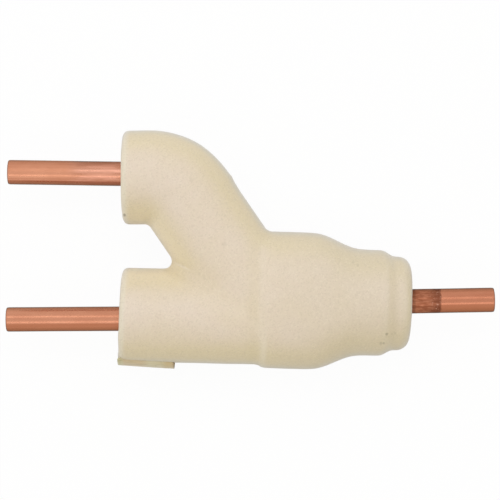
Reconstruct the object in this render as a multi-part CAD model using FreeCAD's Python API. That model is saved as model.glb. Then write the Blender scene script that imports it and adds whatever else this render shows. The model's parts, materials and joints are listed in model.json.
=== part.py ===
import FreeCAD, Part

import math
import os

from FreeCAD import Vector

# Insulated Y-joint for copper pipe. A formed copper branch body sits in a two-part moulded
# foam cover. Three pipes are belled over its spigots and brazed: the inlet on the right, the
# run outlet straight through on the left, and the branch outlet, which leaves the body at a
# slant and bends back until it lies beside the run.
# Millimetres and degrees. X runs along the inlet, Y across the two outlets and Z through the
# thickness. While it is built, the origin is the middle of the body's oval chamber.

# Copper pipe, nominal half inch
pipe_od = 12.7
pipe_wall = 0.8
edge_break = 0.3            # deburred outer edge of a cut pipe end

# Belled sockets over the spigots
socket_depth = 9.0
socket_play = 0.05          # radial gap that the braze fills
socket_flare = 2.0          # length over which a pipe opens to its bell
spigot_relief = 0.4         # a spigot's end stays this far from the socket's root
braze_leg = 1.0             # leg of the triangular braze fillet at a socket's mouth

# Lie of the two outlets and of the inlet
outlet_spacing = 75.4       # between the outlet pipes' axes at the cover's end faces
run_drop = 9.55             # the run pipe's axis lies this far below the chamber's middle
inlet_drop = 0.5            # and the inlet pipe's
run_splay = 0.37            # the pipes lean by these angles from the X axis
branch_splay = 0.84
inlet_splay = 1.0
outlet_reach = 59.8         # bare pipe that stands out of the cover
inlet_reach = 43.9

# Branch arm
slant_angle = 55.6          # of the slanted leg from the X axis
slant_foot = 17.0           # its axis crosses the chamber's this far behind the middle
bend_margin = 1.1           # the bend turns this far outside the arm's own radius
stub_straight = 12.5        # straight part of the arm, from its bend to its end face
run_lead = 0.8              # the run arm's end face stands this much further out
straight_before_bend = 13.0 # bare pipe between the bell and the bend

# Formed copper body
body_wall = 1.0
leg_step = 2.85             # a leg's radius over the pipe's
chamber_step = 2.9          # the chamber's half depth over a leg's radius
chamber_half_flat = 8.2     # half the flat across the oval chamber
neck_step = 0.2             # the neck's radius over the chamber's half depth
reducer_length = 8.0
reducer_lip = 0.4           # a reducer starts this much inside the neck
spigot_bare = 3.0           # bare spigot between a reducer and its socket's mouth
run_leg_length = 13.0       # straight run leg beyond the shoulder

# Stations along the chamber's axis, from its middle
shoulder_start = 21.8       # behind the middle, where both arms run into the drum
shoulder_end = 13.5
taper_start = 11.0          # ahead of the middle, where the oval closes to the round neck
taper_end = 37.0
body_neck_end = 38.5
cover_step_start = 46.5
cover_step_end = 54.0
inlet_face = 62.1

# Moulded foam cover
cover_wall = 14.9
seat_gap = 0.3              # round the copper body, which carries the cover
pocket_step = 1.0           # the pocket's neck closes this much past the inlet channel
cover_turn = 1.65           # its drum and neck lie turned this much clockwise
run_arm_turn = 1.3          # and its run arm
run_lie = 2.2               # the run pipe lies this far below its arm's axis at the face
branch_lie = 1.95           # and the branch pipe this far above its own
shoulder_rise = 3.6         # the drum's sections start this much under its full size
outlet_rim = 3.0            # rounding of the outlet end faces
inlet_rim = 6.3             # and of the inlet end face
crotch_radius = 4.0         # between the two arms

# Closing tape across the parting line, on the side of the run arm
tape_thickness = 0.4
tape_length = 29.4
tape_overhang = 1.1         # past the cover's end face
tape_bow_near = 1.3         # stands off the foam at the end face
tape_bow_far = 3.1          # and at its loose end
tape_seat = 0.25            # its long edges stay this far off the foam
tape_near_angles = (25.0, 25.0)     # of its long edges, above and below the parting plane
tape_far_angles = (13.0, 37.0)

# Drawing of the oval sections
section_points = 24
flat_softness = 0.28        # 0 would be a sharp change from flat to arc
blend_steps = 6
same_place = 1e-6

turn = math.radians(cover_turn)
slant = math.radians(slant_angle)

pipe_radius = pipe_od / 2
bore_radius = pipe_radius - pipe_wall
bell_bore = pipe_radius + socket_play
bell_radius = bell_bore + pipe_wall
leg_radius = pipe_radius + leg_step
chamber_radius = leg_radius + chamber_step
neck_radius = chamber_radius + neck_step
channel_radius = leg_radius + seat_gap
arm_radius = channel_radius + cover_wall
bend_radius = arm_radius + bend_margin
flare_length = socket_depth + socket_flare

# The end faces of the branch arm and the run arm, as distances behind the middle
stub_across = outlet_spacing - run_drop - branch_lie
bend_corner = slant_foot + stub_across / math.tan(slant)
branch_face = bend_corner + bend_radius * math.tan(slant / 2) + stub_straight
outlet_face = branch_face + run_lead

# How far the copper and the pocket lie inside the cover's outer surface
pocket_inset = cover_wall
body_inset = cover_wall + seat_gap
void_inset = body_inset + body_wall

# A cut runs this far out of the face that it opens
cut_past = cover_wall


def trunk_point(along, across, height=0.0):
    """A point given in the turned frame of the cover's trunk."""
    x = along * math.cos(turn) + across * math.sin(turn)
    y = across * math.cos(turn) - along * math.sin(turn)
    return Vector(x, y, height)


trunk_axis = trunk_point(1.0, 0.0)
run_arm_axis = Vector(math.cos(math.radians(run_arm_turn)), -math.sin(math.radians(run_arm_turn)), 0.0)
run_arm_side = Vector(-run_arm_axis.y, run_arm_axis.x, 0.0)
slant_axis = Vector(-math.cos(slant), math.sin(slant), 0.0)

# The pipes' axes: a point where each one crosses its end face, and the way it points out
run_way = Vector(-math.cos(math.radians(run_splay)), -math.sin(math.radians(run_splay)), 0.0)
branch_way = Vector(-math.cos(math.radians(branch_splay)), math.sin(math.radians(branch_splay)), 0.0)
inlet_way = Vector(math.cos(math.radians(inlet_splay)), math.sin(math.radians(inlet_splay)), 0.0)
run_exit = Vector(-outlet_face, -run_drop, 0.0)
branch_exit = Vector(-branch_face, outlet_spacing - run_drop, 0.0)
inlet_exit = Vector(inlet_face, -inlet_drop, 0.0)

# The cover's arms: the middles of their end faces. The branch stub lies along the X axis
run_arm_end = run_exit + Vector(0.0, run_lie, 0.0)
stub_end = branch_exit - Vector(0.0, branch_lie, 0.0)


def smooth(share):
    """Soft step from 0 to 1."""
    return 0.5 - 0.5 * math.cos(math.pi * share)


def circle(centre, way, radius):
    """A round section as a wire."""
    return Part.Wire([Part.Circle(centre, way, radius).toShape()])


def rod(start, way, length, radius):
    """A plain round bar."""
    return Part.makeCylinder(radius, length, start, way)


def meeting(point, way, other, other_way):
    """Where two lines in the XY plane cross."""
    gap = other - point
    side = way.x * other_way.y - way.y * other_way.x
    share = (gap.x * other_way.y - gap.y * other_way.x) / side
    return point + way * share


def bent_path(foot, foot_way, end, end_way):
    """Straight, tangent arc and straight from the foot to the end, as a wire."""
    corner = meeting(foot, foot_way, end, end_way)
    angle = foot_way.getAngle(end_way)
    tangent = bend_radius * math.tan(angle / 2)
    into = corner - foot_way * tangent
    out = corner + end_way * tangent
    inward = (end_way - foot_way).normalize()
    middle = corner + inward * (bend_radius / math.cos(angle / 2) - bend_radius)
    edges = [Part.LineSegment(foot, into).toShape()]
    edges.append(Part.Arc(into, middle, out).toShape())
    edges.append(Part.LineSegment(out, end).toShape())
    return Part.Wire(edges), into


def bent_rod(foot, foot_way, end, end_way, radius):
    """A round bar along such a path."""
    path, into = bent_path(foot, foot_way, end, end_way)
    return path.makePipeShell([circle(foot, foot_way, radius)], True, False)


def oval(along, radius, half_flat):
    """Control points round a section of the trunk: a softened flat between two half rounds."""
    points = []
    pitch = 2 * math.pi / section_points
    swell = 3 / (2 + math.cos(pitch))      # a cubic through these points then has the true radius
    for step in range(section_points):
        side = math.cos(pitch * step)
        spread = side * math.sqrt((1 + flat_softness ** 2) / (side ** 2 + flat_softness ** 2))
        across = swell * (radius * side + half_flat * spread)
        points.append(trunk_point(along, across, swell * radius * math.sin(pitch * step)))
    return points


def blend(first, last):
    """Sections that change softly from the first (along, radius, half flat) to the last."""
    rows = []
    for step in range(1, blend_steps + 1):
        share = step / blend_steps
        soft = smooth(share)
        along = first[0] + (last[0] - first[0]) * share
        radius = first[1] + (last[1] - first[1]) * soft
        half_flat = first[2] + (last[2] - first[2]) * soft
        rows.append((along, radius, half_flat))
    return rows


def trunk_rows(inset, end):
    """Sections of drum, taper and neck, as far as the station where the neck ends."""
    drum = chamber_radius + body_inset - inset
    neck = neck_radius + body_inset - inset
    start = (-shoulder_start, drum - shoulder_rise, chamber_half_flat)
    full = (-shoulder_end, drum, chamber_half_flat)
    rows = [start]
    rows += blend(start, full)
    rows.append((0.0, drum, chamber_half_flat))
    rows.append((taper_start, drum, chamber_half_flat))
    rows += blend(rows[-1], (taper_end, neck, 0.0))
    rows.append((end, neck, 0.0))
    return rows


def skin(rows):
    """A solid whose one smooth cubic surface follows the sections, with flat ends."""
    net = [oval(*row) for row in rows]
    along_knots = list(range(len(rows) - 2))
    along_counts = [4] + [1] * (len(rows) - 4) + [4]
    round_knots = list(range(section_points + 1))
    round_counts = [1] * (section_points + 1)
    surface = Part.BSplineSurface()
    surface.buildFromPolesMultsKnots(net, along_counts, round_counts, along_knots, round_knots,
                                     False, True, 3, 3)
    wall = surface.toShape()
    ends = [Part.Face(Part.Wire([edge])) for edge in wall.Edges if edge.isClosed()]
    shell = Part.makeShell([wall] + ends)
    shell.sewShape()
    return Part.makeSolid(shell)


def cover_trunk():
    """Drum, taper, neck, step and rounded inlet end of the cover's outside."""
    rows = trunk_rows(0.0, cover_step_start)
    rows += blend(rows[-1], (cover_step_end, arm_radius, 0.0))
    for step in range(blend_steps + 1):
        angle = math.pi / 2 * step / blend_steps
        along = inlet_face - inlet_rim * (1 - math.sin(angle))
        radius = arm_radius - inlet_rim * (1 - math.cos(angle))
        rows.append((along, radius, 0.0))
    return skin(rows)


def rim_edge(solid, centre, radius):
    """The round edge of an end face."""
    for edge in solid.Edges:
        ring = edge.Curve
        if isinstance(ring, Part.Circle) and abs(ring.Radius - radius) < same_place:
            if (ring.Center - centre).Length < same_place:
                return edge


def run_arm(inset, beyond):
    """The straight arm along the trunk, from past its end face into the drum."""
    start = run_arm_end - run_arm_axis * beyond
    length = outlet_face + beyond - shoulder_end + leg_radius
    return rod(start, run_arm_axis, length, arm_radius - inset)


def branch_arm(inset, beyond):
    """The slanted arm with its bend and its stub, from the trunk to past the end face."""
    foot = Vector(-slant_foot, 0.0, 0.0)
    end = stub_end - Vector(beyond, 0.0, 0.0)
    return bent_rod(foot, slant_axis, end, Vector(-1.0, 0.0, 0.0), arm_radius - inset)


def crotch_edges(solid):
    """The creases between the two arms, on the side where they part."""
    found = []
    for edge in solid.Edges:
        between = edge.BoundBox.YMax < stub_end.y / 2
        if isinstance(edge.Curve, Part.Ellipse) and between and edge.Length > arm_radius:
            found.append(edge)
    return found


def cover_outside():
    """The whole moulded outside."""
    run = run_arm(0.0, 0.0)
    run = run.makeFillet(outlet_rim, [rim_edge(run, run_arm_end, arm_radius)])
    branch = branch_arm(0.0, 0.0)
    branch = branch.makeFillet(outlet_rim, [rim_edge(branch, stub_end, arm_radius)])
    outside = cover_trunk().fuse([run, branch])
    return outside.makeFillet(crotch_radius, crotch_edges(outside))


def cover_pocket():
    """The space for the copper: the outside less the wall, open at all three faces."""
    rows = trunk_rows(pocket_inset, cover_step_start)
    rows += blend(rows[-1], (cover_step_end, channel_radius - pocket_step, 0.0))
    mouth_length = inlet_face + cut_past - cover_step_start
    mouth = rod(trunk_point(cover_step_start, 0.0), trunk_axis, mouth_length, channel_radius)
    arms = [run_arm(pocket_inset, cut_past), branch_arm(pocket_inset, cut_past)]
    return skin(rows).fuse([mouth] + arms)


def half(solid, way):
    """What lies on one side of the parting plane: way is 1 for above it and -1 for below."""
    box = solid.BoundBox
    box.enlarge(cut_past)
    block = Part.makeBox(box.XLength, box.YLength, box.ZMax, Vector(box.XMin, box.YMin, 0.0))
    if way < 0:
        block.translate(Vector(0.0, 0.0, -box.ZMax))
    return solid.common(block)


def reducer(start, way, start_radius, end, end_way, end_radius):
    """A swaged step between two round sections that need not share an axis."""
    return Part.makeLoft([circle(start, way, start_radius), circle(end, end_way, end_radius)], True, True)


def on_line(point, way, station):
    """The point of a line nearest to a station, an XY point beside it."""
    return point + way * (station - point).dot(way)


class Port:
    """One end of the copper body: its leg or neck, its reducer, its spigot and its socket."""

    def __init__(self, leg_start, leg_way, leg_length, pipe_point, pipe_way, full_radius):
        self.leg_start = leg_start
        self.leg_way = leg_way
        self.leg_length = leg_length
        self.full_radius = full_radius
        self.pipe_way = pipe_way
        self.leg_end = leg_start + leg_way * leg_length
        self.spigot_root = on_line(pipe_point, pipe_way, self.leg_end + leg_way * reducer_length)
        self.mouth = self.spigot_root + pipe_way * spigot_bare
        self.flare_end = self.mouth + pipe_way * flare_length

    def solids(self, wall):
        """Leg, reducer and spigot, drawn in by the wall for the space inside them."""
        radius = self.full_radius - wall
        tip_radius = pipe_radius - (pipe_wall if wall else 0.0)
        past = cut_past if wall else 0.0
        leg = rod(self.leg_start, self.leg_way, self.leg_length, radius)
        step = reducer(self.leg_end, self.leg_way, radius, self.spigot_root, self.pipe_way, tip_radius)
        spigot_length = spigot_bare + socket_depth - spigot_relief + past
        spigot = rod(self.spigot_root, self.pipe_way, spigot_length, tip_radius)
        return [leg, step, spigot]


def ports():
    """The three ports of the copper body."""
    run_start = run_arm_end + run_arm_axis * (outlet_face - shoulder_end + leg_radius)
    run_length = shoulder_start - shoulder_end + leg_radius + run_leg_length
    run = Port(run_start, -run_arm_axis, run_length, run_exit, run_way, leg_radius)

    foot = Vector(-slant_foot, 0.0, 0.0)
    path, bend_start = bent_path(foot, slant_axis, branch_exit, branch_way)
    behind_bend = straight_before_bend + flare_length + spigot_bare + reducer_length
    branch_length = (bend_start - foot).Length - behind_bend
    branch = Port(foot, slant_axis, branch_length, bend_start, slant_axis, leg_radius)

    neck_start = trunk_point(body_neck_end - reducer_lip - body_wall, 0.0)
    inlet = Port(neck_start, trunk_axis, reducer_lip + body_wall, inlet_exit, inlet_way,
                 neck_radius - reducer_lip)
    return run, branch, inlet


def branch_body(all_ports):
    """The formed copper body: an oval chamber that divides into two legs, and a round neck."""
    outside = skin(trunk_rows(body_inset, body_neck_end))
    inside = skin(trunk_rows(void_inset, body_neck_end - body_wall))
    shells = []
    voids = []
    for port in all_ports:
        shells += port.solids(0.0)
        voids += port.solids(body_wall)
    return outside.fuse(shells).cut(inside.fuse(voids))


def turned(outline, port):
    """A piece turned about a port's pipe axis, from corners as (distance from the mouth, radius)."""
    corners = [Vector(at, radius, 0.0) for at, radius in outline]
    face = Part.Face(Part.makePolygon(corners + corners[:1]))
    along_x = Vector(1.0, 0.0, 0.0)
    piece = face.revolve(Vector(), along_x, 360.0)
    piece.Placement = FreeCAD.Placement(port.mouth, FreeCAD.Rotation(along_x, port.pipe_way))
    return piece


def straight_pipe(port, end):
    """A pipe from its belled socket straight to its cut end."""
    length = (end - port.mouth).Length
    outer = [(0.0, bell_radius), (socket_depth, bell_radius), (flare_length, pipe_radius),
             (length - edge_break, pipe_radius), (length, pipe_radius - edge_break)]
    inner = [(length, bore_radius), (flare_length, bore_radius), (socket_depth, bell_bore), (0.0, bell_bore)]
    return turned(outer + inner, port)


def bell(port, socket_radius, tube_radius):
    """A belled end as if it were solid."""
    outline = [(0.0, 0.0), (0.0, socket_radius), (socket_depth, socket_radius),
               (flare_length, tube_radius), (flare_length, 0.0)]
    return turned(outline, port)


def bent_pipe(port, end):
    """The branch pipe: belled socket, slanted straight, bend and straight outlet."""
    tube = bent_rod(port.flare_end, port.pipe_way, end, branch_way, pipe_radius)
    tube = tube.makeChamfer(edge_break, [rim_edge(tube, end, pipe_radius)])
    past = end + branch_way * cut_past
    bore = bent_rod(port.flare_end, port.pipe_way, past, branch_way, bore_radius)
    tube = tube.fuse(bell(port, bell_radius, pipe_radius))
    return tube.cut(bore.fuse(bell(port, bell_bore, bore_radius)))


def braze_fillet(port):
    """The ring of braze between a socket's mouth and the spigot."""
    return turned([(0.0, pipe_radius), (0.0, pipe_radius + braze_leg), (-braze_leg, pipe_radius)], port)


def tape_section(along, bow, edge_angles):
    """The tape's cross-section: a bowed strip whose long edges lie on the foam."""
    upper, lower = edge_angles
    outline = []
    for lift, order in ((0.0, (1.0, 0.5, 0.0)), (tape_thickness, (0.0, 0.5, 1.0))):
        points = []
        for share in order:
            angle = math.radians(upper * share - lower * (1 - share))
            stand = tape_seat + lift + bow * 4 * share * (1 - share)
            radius = arm_radius + stand
            middle = run_arm_end + run_arm_axis * along - run_arm_side * (radius * math.cos(angle))
            points.append(middle + Vector(0.0, 0.0, radius * math.sin(angle)))
        outline.append(Part.Arc(*points).toShape())
    first, second = outline
    closing = [Part.LineSegment(first.Vertexes[-1].Point, second.Vertexes[0].Point).toShape()]
    closing.append(Part.LineSegment(second.Vertexes[-1].Point, first.Vertexes[0].Point).toShape())
    return Part.Wire([first, closing[0], second, closing[1]])


def closing_tape():
    """The strip over the parting line, loose at the end towards the drum."""
    far = tape_length - tape_overhang
    near_section = tape_section(-tape_overhang, tape_bow_near, tape_near_angles)
    far_section = tape_section(far, tape_bow_far, tape_far_angles)
    return Part.makeLoft([near_section, far_section], True, True)


def build():
    """Every piece by name, in the building frame."""
    run, branch, inlet = ports()
    cover = cover_outside().cut(cover_pocket())
    pieces = {}
    pieces["insulation_upper_half"] = half(cover, 1)
    pieces["insulation_lower_half"] = half(cover, -1)
    pieces["branch_body"] = branch_body((run, branch, inlet))
    pieces["inlet_pipe"] = straight_pipe(inlet, inlet_exit + inlet_way * inlet_reach)
    pieces["run_pipe"] = straight_pipe(run, run_exit + run_way * outlet_reach)
    pieces["branch_pipe"] = bent_pipe(branch, branch_exit + branch_way * outlet_reach)
    pieces["braze_inlet"] = braze_fillet(inlet)
    pieces["braze_run"] = braze_fillet(run)
    pieces["braze_branch"] = braze_fillet(branch)
    pieces["closing_tape"] = closing_tape()
    return pieces


def place(pieces):
    """Move everything so that the origin is under the middle of the whole part."""
    box = Part.makeCompound(list(pieces.values())).optimalBoundingBox(False, False)
    shift = Vector(-(box.XMin + box.XMax) / 2, -(box.YMin + box.YMax) / 2, -box.ZMin)
    for shape in pieces.values():
        shape.translate(shift)
    return shift


os.makedirs("parts", exist_ok=True)
pieces = build()
shift = place(pieces)
for name, shape in pieces.items():
    shape.exportStep("parts/" + name + ".step")
    size = shape.optimalBoundingBox(False, False)
    print(name, "valid", shape.isValid(), "solids", len(shape.Solids), "cm3",
          round(shape.Volume / 1000, 3), "mm",
          round(size.XLength, 2), round(size.YLength, 2), round(size.ZLength, 2))
print("the chamber's middle lies at", [round(value, 3) for value in shift])
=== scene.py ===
# %% [markdown]
# # An insulated pipe y-joint, finished in Blender
# One copper pipe comes in on the right and leaves as two on the left. Where it divides, the
# copper is hidden in a moulded foam cover that closes round it in two halves.
# The CAD model gives every piece its true size and place. This lesson gives the pieces their
# finish: the skin of moulded foam, drawn copper with a heat tint, and a strip of film tape.
# Lengths below are in millimetres until they are handed to Blender, which works in metres.

import json
import math

import bmesh
import bpy
import numpy as np
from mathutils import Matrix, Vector, noise


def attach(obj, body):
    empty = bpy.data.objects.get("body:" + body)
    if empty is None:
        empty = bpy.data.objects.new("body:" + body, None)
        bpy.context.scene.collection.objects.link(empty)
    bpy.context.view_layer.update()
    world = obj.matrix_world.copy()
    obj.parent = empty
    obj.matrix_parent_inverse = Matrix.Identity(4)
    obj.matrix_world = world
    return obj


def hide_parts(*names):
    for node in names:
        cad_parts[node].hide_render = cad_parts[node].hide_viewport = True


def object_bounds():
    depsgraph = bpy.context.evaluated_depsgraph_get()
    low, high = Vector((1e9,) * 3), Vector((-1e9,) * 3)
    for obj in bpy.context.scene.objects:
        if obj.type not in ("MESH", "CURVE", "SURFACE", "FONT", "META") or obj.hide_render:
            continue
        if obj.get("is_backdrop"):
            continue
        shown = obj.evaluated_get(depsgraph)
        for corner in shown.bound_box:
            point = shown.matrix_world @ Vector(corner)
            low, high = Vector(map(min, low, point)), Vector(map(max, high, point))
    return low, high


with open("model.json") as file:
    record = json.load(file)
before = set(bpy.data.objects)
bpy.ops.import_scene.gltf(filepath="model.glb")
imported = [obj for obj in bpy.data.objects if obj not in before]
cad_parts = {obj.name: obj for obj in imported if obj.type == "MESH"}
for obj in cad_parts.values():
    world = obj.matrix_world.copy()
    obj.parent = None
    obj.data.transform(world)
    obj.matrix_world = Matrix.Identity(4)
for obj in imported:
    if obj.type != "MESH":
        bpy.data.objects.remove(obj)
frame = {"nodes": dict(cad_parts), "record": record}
cad_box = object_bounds()
nodes = frame["nodes"]
mounts = {mount["name"]: mount for mount in frame["record"]["mounts"]}
print("CAD nodes:", ", ".join(sorted(nodes)))

# %% [markdown]
# ## Measures
# The pipes' axes come from the mounts in the record, so the visible pipes can't drift from the
# CAD. The rest repeats a few lengths of the joint: its wall, its arms and the bend of the arm
# that turns beside the other.

# %% Lengths of the joint
MM = 0.001
middle_height = 27.5          # of the parting plane above the floor
pipe_radius = 6.35
bore_radius = 5.55
bell_radius = 7.2
bell_bore = 6.4
bell_length = 9.0
flare_length = 2.0
straight_before_bend = 13.0
bend_radius = 25.5
arm_radius = 24.4
slant = math.radians(55.6)
slant_foot = np.array([3.618, -26.248])
stub_line = 37.652            # Y of the branch arm's straight stub
run_arm_end = np.array([-66.879, -33.598])
run_arm_turn = math.radians(1.3)


def metres(x, y, z=middle_height):
    """A point given in millimetres as a Blender vector."""
    return Vector((x, y, z)) * MM


def axis_of(name):
    """Middle, direction and length of a mount, in millimetres and in the XY plane."""
    mount = mounts[name]
    middle = np.array(mount["pos_m"][:2]) / MM
    way = np.array(mount["axis"][:2])
    return middle, way / np.linalg.norm(way), mount["dims"]["length_mm"]


def meeting(point, way, other, other_way):
    """Where two lines in the XY plane cross."""
    gap = other - point
    side = way[0] * other_way[1] - way[1] * other_way[0]
    share = (gap[0] * other_way[1] - gap[1] * other_way[0]) / side
    return point + way * share


def tangent_of(turn):
    """From the start of a bend to the corner where its two straights would meet."""
    return bend_radius * math.tan(turn / 2)


slant_way = np.array([-math.cos(slant), math.sin(slant)])
slant_side = np.array([math.sin(slant), math.cos(slant)])
left = np.array([-1.0, 0.0])
arm_corner = meeting(slant_foot, slant_way, np.array([0.0, stub_line]), left)
arm_bend_start = arm_corner - slant_way * tangent_of(slant)
arm_bend_centre = arm_bend_start - slant_side * bend_radius
slant_length = float(np.dot(arm_bend_start - slant_foot, slant_way))
print("slanted arm bends at", arm_bend_start.round(2), "round", arm_bend_centre.round(2))

# %% [markdown]
# ## A short way to write node trees
# Blender's materials and Geometry Nodes are trees of nodes. These small helpers add a node,
# set it and plug values or other nodes into it, so that each material below reads as a recipe.


# %% Nodes, values and arithmetic
def plug(tree, socket, value):
    """Joins a socket to another node's output, or sets it to a plain value."""
    if isinstance(value, bpy.types.NodeSocket):
        tree.links.new(value, socket)
    else:
        socket.default_value = value


def put(tree, kind, values=(), **settings):
    """Adds a node, sets its options and fills its inputs by name or number."""
    node = tree.nodes.new(kind)
    for key, setting in settings.items():
        setattr(node, key, setting)
    for key, value in dict(values).items():
        plug(tree, node.inputs[key], value)
    return node


def calc(tree, operation, first, second=0.0, third=0.0):
    """One step of arithmetic."""
    node = put(tree, "ShaderNodeMath", operation=operation)
    for socket, value in zip(node.inputs, (first, second, third)):
        plug(tree, socket, value)
    return node.outputs[0]


def times(tree, first, second):
    """Two values multiplied."""
    return calc(tree, "MULTIPLY", first, second)


def ramp(tree, value, low, high):
    """Soft step: 0 below low and 1 above high, or the other way round if low is the larger."""
    node = put(tree, "ShaderNodeMapRange", {"Value": value, "From Min": low, "From Max": high},
               interpolation_type="SMOOTHSTEP")
    return node.outputs["Result"]


# %% [markdown]
# Places on a piece are read in Object coordinates, in metres from the part's own origin, so a
# mark stays where it was put. What was measured on a mesh comes in as an attribute.

# %% Places and patterns
def split(tree, place):
    """The X, Y and Z of a place."""
    return put(tree, "ShaderNodeSeparateXYZ", {0: place}).outputs


def measured(tree, name, kind="Fac"):
    """A value that the mesh carries at each point."""
    return put(tree, "ShaderNodeAttribute", attribute_name=name).outputs[kind]


def stretch(tree, vector, scale):
    """The same place measured with other units along X, Y and Z."""
    node = put(tree, "ShaderNodeVectorMath", {0: vector, 1: scale}, operation="MULTIPLY")
    return node.outputs[0]


def cloud(tree, vector, scale, detail=3.0, roughness=0.5, distortion=0.0):
    """Soft random values between 0 and 1."""
    node = put(tree, "ShaderNodeTexNoise", {"Vector": vector, "Scale": scale, "Detail": detail,
                                            "Roughness": roughness, "Distortion": distortion})
    return node.outputs["Fac"]


# %% [markdown]
# A finish is built in coats. Each coat has a tone and a largest share, and a mask says where it
# lies. The tables of coats below keep these numbers together, under plain names.

# %% Colours and coats
def tone(red, green, blue):
    """A colour as a screen shows it, 0 to 255, in the linear numbers that Blender mixes."""
    linear = []
    for value in (red, green, blue):
        share = value / 255
        linear.append(share / 12.92 if share <= 0.04045 else ((share + 0.055) / 1.055) ** 2.4)
    return (*linear, 1.0)


def blend(tree, share, first, second):
    """Two colours mixed by a share."""
    node = put(tree, "ShaderNodeMix", {0: share, 6: first, 7: second}, data_type="RGBA")
    return node.outputs[2]


def lay(tree, colour, mask, coat):
    """A coat (largest share, tone) laid over a colour, where the mask is high."""
    share, over = coat
    return blend(tree, times(tree, mask, share), colour, tone(*over))


def emboss(tree, shader, strength, depth, height):
    """Fine relief in the shading; the depth is in metres."""
    relief = put(tree, "ShaderNodeBump",
                 {"Strength": strength, "Distance": depth, "Height": height})
    plug(tree, shader["Normal"], relief.outputs["Normal"])


# %% Materials and groups
def new_material(name):
    """A material, its tree, the inputs of its main shader, and the place on the piece."""
    material = bpy.data.materials.new(name)
    material.use_nodes = True
    tree = material.node_tree
    shader = next(node for node in tree.nodes if node.type == "BSDF_PRINCIPLED")
    return material, tree, shader.inputs, put(tree, "ShaderNodeTexCoord").outputs["Object"]


def new_group(name, inputs, outputs):
    """An empty node group with its sockets: (name, kind, default) in and (name, kind) out."""
    tree = bpy.data.node_groups.new(name, "ShaderNodeTree")
    for label, kind, default in inputs:
        socket = tree.interface.new_socket(label, in_out="INPUT", socket_type="NodeSocket" + kind)
        if default is not None:
            socket.default_value = default
    for label, kind in outputs:
        tree.interface.new_socket(label, in_out="OUTPUT", socket_type="NodeSocket" + kind)
    return tree, tree.nodes.new("NodeGroupInput").outputs, tree.nodes.new("NodeGroupOutput").inputs


def use(tree, group, values):
    """A node group in use, with its outputs by name."""
    return put(tree, "ShaderNodeGroup", values, node_tree=group).outputs


# %% [markdown]
# ## Shared effects
# Four effects are needed more than once, so each is a node group: slow mottling (no moulded or
# drawn surface is one even tone), closed foam cells, the fine lines that a drawing die leaves
# along a pipe, and single specks where the foam's skin is broken.

# %% Mottling
mottle_group, inside, out = new_group(
    "slow mottling",
    [("Vector", "Vector", None), ("Scale", "Float", 60.0), ("Contrast", "Float", 1.0)],
    [("Value", "Float")])
broad = cloud(mottle_group, inside["Vector"], inside["Scale"], detail=4.0, roughness=0.55)
centred = calc(mottle_group, "SUBTRACT", broad, 0.5)
scaled = calc(mottle_group, "MULTIPLY_ADD", centred, inside["Contrast"], 0.5)
plug(mottle_group, out["Value"], scaled)

# %% [markdown]
# The foam's skin shows the cells under it as a grain of about half a millimetre. Cells are
# what Voronoi noise draws: its distance is the dome of each cell, and a second, finer noise
# keeps the domes from looking like a regular pattern.

# %% Closed foam cells
cell_group, inside, out = new_group(
    "foam cells", [("Vector", "Vector", None), ("Cells per metre", "Float", 1500.0)],
    [("Height", "Float"), ("Speckle", "Float"), ("Tint", "Float")])
cells = put(cell_group, "ShaderNodeTexVoronoi",
            {"Vector": inside["Vector"], "Scale": inside["Cells per metre"], "Randomness": 1.0})
finer = times(cell_group, inside["Cells per metre"], 2.1)
fine = cloud(cell_group, inside["Vector"], finer, 2.0)
dome = times(cell_group, cells.outputs["Distance"], 0.6)
plug(cell_group, out["Height"], calc(cell_group, "MULTIPLY_ADD", fine, 0.5, dome))
chance = put(cell_group, "ShaderNodeSeparateColor", {"Color": cells.outputs["Color"]}).outputs
plug(cell_group, out["Speckle"], chance["Red"])
plug(cell_group, out["Tint"], chance["Green"])

# %% [markdown]
# Drawn pipe carries faint lines along its length. The noise is read in the pipe's own space:
# first the distance along it, then the two directions across. With very few units along and
# many across, soft noise turns into long lines.

# %% Drawing lines
draw_group, inside, out = new_group(
    "drawing lines", [("Vector", "Vector", None), ("Lines per metre", "Float", 900.0)],
    [("Lines", "Float"), ("Broad", "Float")])
lengthways = stretch(draw_group, inside["Vector"], (0.012, 1.0, 1.0))
plug(draw_group, out["Lines"], cloud(draw_group, lengthways, inside["Lines per metre"], 3.0, 0.6))
drawn_out = stretch(draw_group, inside["Vector"], (0.06, 1.0, 1.0))
slow_lines = times(draw_group, inside["Lines per metre"], 0.3)
plug(draw_group, out["Broad"], cloud(draw_group, drawn_out, slow_lines, 2.0, 0.5))

# %% [markdown]
# A speck is a soft round spot: full up to a third of its size, gone at its edge. The distance
# to its centre is all it needs, so it falls on the same place of the foam from every side.

# %% Single specks
speck_group, inside, out = new_group(
    "speck", [("Vector", "Vector", None), ("Centre", "Vector", None), ("Size", "Float", 0.0006)],
    [("Mask", "Float")])
apart = put(speck_group, "ShaderNodeVectorMath", {0: inside["Vector"], 1: inside["Centre"]},
            operation="DISTANCE")
share = calc(speck_group, "DIVIDE", apart.outputs["Value"], inside["Size"])
plug(speck_group, out["Mask"], ramp(speck_group, share, 1.0, 0.35))
print("shared groups:", [group.name for group in bpy.data.node_groups])
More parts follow.
